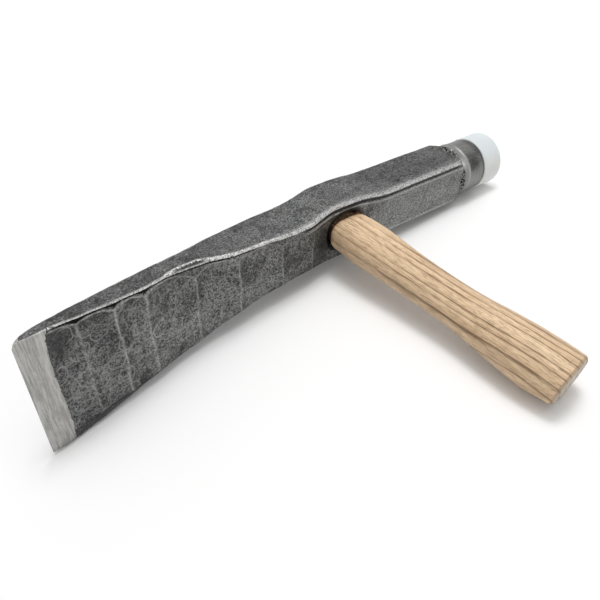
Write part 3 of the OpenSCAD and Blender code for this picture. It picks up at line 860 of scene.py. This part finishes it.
def ashWood(look):  # year rings round a pith outside the handle
    material, t, place = newMaterial("ashWood")
    light, late, grain = look["light"], look["late"], look["grain"]
    x, y, z = t.parts(place)
    swing = t.streaks(place, (16, 7, 16), 2, 0.5)
    ripple = t.streaks(place, (110, 26, 110))
    longPores = t.streaks(place, (1500, 60, 1500), 3, 0.7)
    finePores = t.streaks(place, (2200, 150, 2200), 2)
    vary = t.streaks(place, (260, 18, 260))
    dx = t.plus(t.minus(x, look["pith"][0]), t.times(y, look["tilt"][0]))
    dz = t.plus(t.minus(z, look["pith"][1]), t.times(y, look["tilt"][1]))
    far = t.math("SQRT", t.plus(t.times(dx, dx), t.times(dz, dz)))
    far = t.plus(far, t.sway(swing, 0.005), t.sway(ripple, 0.00035))
    far = t.plus(far, t.times(t.math("SINE", t.times(far, 620)), 0.0007))
    turns = t.math("DIVIDE", far, look["ringGap"])
    phase = t.math("FRACT", turns)
    sockets = {"W": t.math("FLOOR", turns)}
    year = t.add("ShaderNodeTexWhiteNoise", sockets, noise_dimensions="1D").outputs["Value"]
    edge = t.step(phase, 0, 0.05)
    early = t.times(edge, t.step(phase, 0.26, 0.07))  # sharp start, slow fade
    shadeBand = t.times(edge, t.step(phase, 0.55, 0.1))
    base = t.mix(t.step(phase, 0.3, 1, 0, 0.55), light, late)
    base = t.paint(base, late, t.step(vary, 0.42, 0.62), 0.52)
    strength = t.times(t.step(vary, 0.28, 0.62, 0.5, 1), t.blendValue(year, 0.7, 1))
    strength = t.times(strength, t.step(y, -0.035, -0.085, 0.55, 1))
    base = t.paint(base, late, shadeBand, strength, 0.55)
    base = t.paint(base, grain, early, strength, 0.95)
    pores = t.times(shadeBand, strength, t.step(longPores, 0.44, 0.6))
    stray = t.times(t.step(longPores, 0.52, 0.66), 0.5)
    base = t.paint(base, grain, t.math("MAXIMUM", pores, stray), 0.72)
    base = t.paint(base, grain, t.step(finePores, 0.5, 0.6), 0.38)
    paintedUnderShade = t.step(z, 0.022, 0.008, 0, 0.16)  # painted shade: the underside is darker
    base = t.mix(1, base, t.minus(1, paintedUnderShade), "MULTIPLY")

    # painted shade where the wood enters the eye, with torn fibres on its top
    reach = t.plus(y, t.sway(vary, 0.003))
    torn = t.times(t.step(z, 0.0215, 0.026), t.step(longPores, 0.46, 0.6))
    torn = t.mix(torn, look["mouthShade"], look["torn"])
    base = t.paint(base, torn, t.step(reach, -0.0167, -0.0157), t.step(y, 0.013, 0.01), 0.94)

    # end grain, with a darker rim round the butt
    facing = t.math("ABSOLUTE", t.parts(t.add("ShaderNodeNewGeometry").outputs["Normal"])[1])
    endBase = t.paint(look["endLight"], grain, early, 0.32)
    endBase = t.paint(endBase, look["pore"], t.step(t.cracks(place, 1500), 0.2, 0.42), early, 0.5)
    base = t.paint(base, endBase, t.step(facing, 0.55, 0.93))
    base = t.paint(base, grain, t.step(facing, 0.3, 0.55), t.step(facing, 0.93, 0.75), 0.32)
    rough = t.step(pores, 0, 1, 0.5, 0.72)
    sockets = {"Base Color": base, "Roughness": rough, "Specular IOR Level": 0.3}
    height = t.minus(t.times(phase, 0.25), t.times(pores, 0.9))
    finishMaterial(t, sockets, [(height, 0.0002), (finePores, 0.00006)])
    return material


def buildHandle(spec):
    rows = []  # place along Y, half width, half height, squareness
    plain = spec["squareness"]
    end, flare, butt = spec["tongueEnd"], spec["flare"], spec["butt"]
    for back in (0, *spec["tongueRows"]):
        grow = flare * max(0, 1 - back / (end - 2.2))
        grow -= 0 if back else 0.25
        rows.append((end - back, spec["tongueLength"] + grow, spec["tongueHeight"] + grow, plain))
    body = butt - spec["chamfer"]
    reachFrom = spec["profile"][0][0]
    count = int((body - reachFrom) / spec["rowGap"])
    reaches = reachFrom + (body - reachFrom) * (np.linspace(0, 1, count + 1) ** 1.12)
    shaved = 1 - rise(reaches, 14.6, 24)
    radii = curveAt(spec["profile"], reaches)
    for reach, radius, cut in zip(reaches, radii, shaved):
        halfWide, halfHigh = radius * (spec["wide"] + 0.2 * cut), radius * (spec["high"] - 0.1 * cut)
        rows.append((-reach, halfWide, halfHigh, plain + 0.8 * cut))
    halfWide, halfHigh = radii[-1] * spec["wide"], radii[-1] * spec["high"]
    for k in range(1, 7):
        a = k / 6
        inset = spec["chamfer"] * a - 0.25 * math.sin(math.pi * a)
        rows.append((-(body + spec["chamfer"] * a), halfWide - inset, halfHigh - inset, plain))
    halfWide, halfHigh = rows[-1][1:3]
    for q in (0.97, 0.9, 0.7, 0.4, 0.12):
        rows.append((-butt - 0.12 * (1 - q), halfWide * q, halfHigh * q, plain))
    rings = []
    for y, halfWide, halfHigh, square in rows:
        slant = spec["skew"] * float(rise(-y, 145, butt - 3))
        tuck = spec["tuck"] * float(0.1 * bell(-y, 152, 9) - rise(-y, 153, butt))
        ring = []
        for k in range(spec["sides"]):
            x, z = ovalPoint(2 * math.pi * k / spec["sides"], halfWide, halfHigh, square)
            uneven = 1 + (0.01 * noise.noise(Vector((x / 18, y / 40, z / 18))) if y < -17 else 0)
            uneven *= 1 + tuck if x < 0 else 1
            ring.append((x * uneven, y + slant * (x - z), z * uneven))
        rings.append(ring)
    return closedTube("ashHandle", rings)


handle = buildHandle(handleSpec)
handle.data.materials.append(ashWood(ashLook))
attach(handle, "hammer")
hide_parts("ash_handle")
print("stage: handle shaped")


# torn fibres of ash that stand up round the mouth of the eye
fibreSpec = {
    "count": 230, "length": 1.8, "thick": 0.2, "seed": 11,
    # the oval that they stand on, from one angle to the other, and how far they lean out of the eye
    "from": 36, "to": 150, "wide": 12.9, "high": 9.2, "place": -15.5, "square": 2.9, "lean": -9,
    "scatter": 0.7, "curl": 260, "smallest": 0.35, "largest": 1.3,
    "colour": (0.085, 0.046, 0.025), "tip": (0.48, 0.31, 0.17),
}


def fibreWood(look):
    material, t, place = newMaterial("tornAsh")
    mottle = t.noise(place, 620, 3, 0.6)
    base = t.mix(t.step(mottle, 0.5, 0.64), look["colour"], look["tip"])
    finishMaterial(t, {"Base Color": base, "Roughness": 0.75, "Specular IOR Level": 0.2}, [(mottle, 0.00005)])
    return material


def fibreTree(spec, material):
    group = bpy.data.node_groups.new("tornFibres", "GeometryNodeTree")
    kinds = {"Path": "Geometry", "Count": "Int", "Length": "Float", "Thickness": "Float", "Seed": "Int"}
    for name, kind in kinds.items():
        group.interface.new_socket(name, in_out="INPUT", socket_type="NodeSocket" + kind)
    group.interface.new_socket("Fibres", in_out="OUTPUT", socket_type="NodeSocketGeometry")
    t = Tree(group)
    given = t.add("NodeGroupInput").outputs

    def random(shift, low, high):  # vectors, each use with a seed of its own
        sockets = {"Seed": t.plus(given["Seed"], shift) if shift else given["Seed"], 0: low, 1: high}
        return t.out("FunctionNodeRandomValue", sockets, data_type="FLOAT_VECTOR")

    # points scattered along the path
    line = t.out("GeometryNodeMeshToCurve", {"Mesh": given["Path"]})
    sockets = {"Curve": line, "Count": given["Count"]}
    spread = t.out("GeometryNodeCurveToPoints", sockets, mode="COUNT")
    reach = spec["scatter"] * mm
    spread = t.out("GeometryNodeSetPosition", {0: spread, "Offset": random(0, (-reach,) * 3, (reach,) * 3)})

    # one curled fibre
    sockets = {"Vertices": 5, "Side Segments": 5, "Radius Top": 0.00002, "Radius Bottom": given["Thickness"]}
    spike = t.out("GeometryNodeMeshCone", dict(sockets, Depth=given["Length"]))
    along = t.parts(t.out("GeometryNodeInputPosition"))[2]
    bend = t.out("ShaderNodeCombineXYZ", {0: t.times(along, along, spec["curl"])})
    spike = t.out("GeometryNodeSetPosition", {"Geometry": spike, "Offset": bend})

    # each leans its own way and has its own size
    lean = t.out("GeometryNodeInputNamedAttribute", {"Name": "lean"}, data_type="FLOAT_VECTOR")
    turn = t.out("FunctionNodeAlignRotationToVector", {"Vector": lean}, axis="Z")
    sockets = {0: turn, 1: random(3, (-0.8, -0.8, -3.1), (0.8, 0.8, 3.1))}
    turn = t.out("FunctionNodeRotateRotation", sockets, rotation_space="LOCAL")
    sockets = {"Seed": t.plus(given["Seed"], 9), 2: spec["smallest"], 3: spec["largest"]}
    grow = t.add("FunctionNodeRandomValue", sockets, data_type="FLOAT").outputs[1]
    sockets = {"Points": spread, "Instance": spike, "Rotation": turn, "Scale": grow}
    stand = t.out("GeometryNodeInstanceOnPoints", sockets)
    plain = t.out("GeometryNodeRealizeInstances", {0: stand})
    dressed = t.out("GeometryNodeSetMaterial", {"Geometry": plain, "Material": material})
    t.add("NodeGroupOutput", {0: dressed})
    return group


def growFibres(spec):
    material = fibreWood(spec)
    path = bpy.data.meshes.new("fibrePath")
    points, leans = [], []
    for degree in range(spec["from"], spec["to"] + 1, 5):
        x, z = ovalPoint(math.radians(degree), spec["wide"], spec["high"], spec["square"])
        points.append((x * mm, spec["place"] * mm, (z + midPlane) * mm))
        leans.append(Vector((x, spec["lean"], z)).normalized())
    path.from_pydata(points, [(k, k + 1) for k in range(len(points) - 1)], [])
    mark = path.attributes.new("lean", "FLOAT_VECTOR", "POINT")
    mark.data.foreach_set("vector", np.array(leans, np.float32).ravel())
    carrier = addObject("fibrePath", path)
    modifier = carrier.modifiers.new("fibres", "NODES")
    modifier.node_group = fibreTree(spec, material)
    wanted = {"Count": spec["count"], "Length": spec["length"] * mm, "Thickness": spec["thick"] * mm}
    wanted["Seed"] = spec["seed"]
    for item in modifier.node_group.interface.items_tree:
        if item.name in wanted and item.in_out == "INPUT":
            modifier[item.identifier] = wanted[item.name]
    ready = carrier.evaluated_get(bpy.context.evaluated_depsgraph_get())
    mesh = bpy.data.meshes.new_from_object(ready)
    mesh.name = "tornFibres"
    carrier.modifiers.remove(modifier)
    bpy.data.objects.remove(carrier)
    piece = addObject("tornFibres", mesh)
    if not mesh.materials:
        mesh.materials.append(material)
    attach(piece, "hammer")
    return piece


fibres = growFibres(fibreSpec)
print("stage: fibres grown,", len(fibres.data.polygons), "faces")


# wedges: plain hardwood across the tongue, and a steel one driven across it
wedgeSpec = {
    "bevel": 0.25, "woodDark": (0.34, 0.2, 0.1), "woodLight": (0.5, 0.33, 0.18), "woodDriven": 0.35,
    "steelDark": (0.16, 0.155, 0.15), "steelLight": (0.36, 0.355, 0.34), "steelStain": (0.1, 0.085, 0.07),
    "steelDriven": 0.25,
}


def wedgeWood(look):
    material, t, place = newMaterial("wedgeWood")
    lines = t.streaks(place, (90, 30, 1400))
    base = t.mix(t.step(lines, 0.35, 0.65), look["woodDark"], look["woodLight"])
    base = t.paint(base, look["woodDark"], t.step(t.cracks(place, 1900), 0.1, 0.35), 0.25)
    finishMaterial(t, {"Base Color": base, "Roughness": 0.62}, [(lines, 0.00012)])
    return material


def wedgeSteel(look):
    material, t, place = newMaterial("wedgeSteel")
    dents = t.noise(place, 480, 4, 0.65)
    scratch = t.streaks(place, (1800, 200, 160))
    base = t.mix(t.step(dents, 0.35, 0.65), look["steelDark"], look["steelLight"])
    base = t.paint(base, look["steelStain"], t.step(scratch, 0.55, 0.7), 0.4)
    rough = t.step(dents, 0.3, 0.7, 0.35, 0.55)
    sockets = {"Base Color": base, "Roughness": rough, "Metallic": 0.9}
    finishMaterial(t, sockets, [(dents, 0.00025), (scratch, 0.00006)])
    return material


def dressWedge(name, node, material, driven):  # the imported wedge, rounded and uneven at its end
    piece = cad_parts[node].copy()
    mesh = piece.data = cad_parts[node].data.copy()
    mesh.materials.clear()
    piece.name = mesh.name = name
    scene.collection.objects.link(piece)
    endPlace = packedMesh(node)[0][:, 1].max() * mm
    edit = bmesh.new()
    edit.from_mesh(mesh)
    bmesh.ops.remove_doubles(edit, verts=edit.verts, dist=1e-6)
    bmesh.ops.dissolve_limit(edit, angle_limit=math.radians(2), verts=edit.verts, edges=edit.edges)
    sharp = [e for e in edit.edges if e.is_manifold and e.calc_face_angle(0) > math.radians(30)]
    bmesh.ops.bevel(edit, geom=sharp, offset=wedgeSpec["bevel"] * mm, segments=3, profile=0.5, affect="EDGES")
    bmesh.ops.triangulate(edit, faces=edit.faces)
    longEdges = [e for e in edit.edges if e.calc_length() > 1.2 * mm]
    bmesh.ops.subdivide_edges(edit, edges=longEdges, cuts=3, use_grid_fill=True)
    for v in edit.verts:
        if v.co.y > endPlace - 0.4 * mm:
            v.co.y -= driven * mm * abs(noise.noise(v.co / (1.6 * mm)))
    settle(edit, mesh)
    sharpen(piece, 35)
    mesh.materials.append(material)
    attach(piece, "hammer")
    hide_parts(node)
    return piece


dressWedge("woodWedge", "wood_wedge", wedgeWood(wedgeSpec), wedgeSpec["woodDriven"])
dressWedge("steelWedge", "steel_wedge", wedgeSteel(wedgeSpec), wedgeSpec["steelDriven"])
print("stage: wedges driven")


# floor: the plane that the blade's corner, the butt and the soft face rest on
floorSpec = {
    "normal": (-0.0598, 0.078, 0.9952), "height": -0.0082, "half": 9, "colour": (0.92, 0.92, 0.92),
    "lift": 0.04, "farLift": 0.66, "fade": (0.22, 1),  # glow near and far from the part, metres between
}
studioSpec = {
    "world": 0.5, "target": (0, -0.02, 0.02),
    # name, place, size and power of each lamp
    "lamps": [("keyLamp", (0.04, 0.06, 1.2), 0.32, 4.8), ("softLamp", (0.03, 0.02, 1.3), 1.1, 6)],
}


def shownRays(t):  # 1 for rays of the camera, reflections and glass
    seen = t.add("ShaderNodeLightPath").outputs
    shown = t.math("MAXIMUM", seen["Is Glossy Ray"], seen["Is Transmission Ray"])
    return t.math("MAXIMUM", seen["Is Camera Ray"], shown)


def makeFloor(spec):
    nx, ny, nz = spec["normal"]
    half = spec["half"]
    corners = [(-half, -half), (half, -half), (half, half), (-half, half)]
    points = [(x, y, spec["height"] - (nx * x + ny * y) / nz) for x, y in corners]
    mesh = bpy.data.meshes.new("floor")
    mesh.from_pydata(points, [], [(0, 1, 2, 3)])
    floor = addObject("floor", mesh)
    material, t, place = newMaterial("paleFloor")
    away = t.add("ShaderNodeVectorMath", {0: place}, operation="LENGTH").outputs["Value"]
    level = t.times(shownRays(t), t.step(away, *spec["fade"], spec["lift"], spec["farLift"]))
    plain = t.out("ShaderNodeBsdfDiffuse", {"Color": spec["colour"]})
    glow = t.out("ShaderNodeEmission", {"Color": (1, 1, 1), "Strength": level})
    both = t.out("ShaderNodeAddShader", {0: plain, 1: glow})
    t.add("ShaderNodeOutputMaterial", {"Surface": both})
    mesh.materials.append(material)


def makeWorld(strength):
    world = bpy.data.worlds.new("studio")
    scene.world = world
    t = emptyTree(world)
    level = t.blendValue(shownRays(t), strength, 1)
    light = t.out("ShaderNodeBackground", {"Color": (1, 1, 1), "Strength": level})
    t.add("ShaderNodeOutputWorld", {"Surface": light})


def makeLamp(name, place, size, power):
    data = bpy.data.lights.new(name, "AREA")
    data.shape = "SQUARE"
    data.size = size
    data.energy = power
    lamp = addObject(name, data)
    direction = Vector(studioSpec["target"]) - Vector(place)
    lamp.matrix_world = Matrix.Translation(place) @ direction.to_track_quat("-Z", "Y").to_matrix().to_4x4()


makeFloor(floorSpec)
makeWorld(studioSpec["world"])
for lampSpec in studioSpec["lamps"]:
    makeLamp(*lampSpec)
scene.view_settings.view_transform = "Standard"
print("stage: floor and light set")
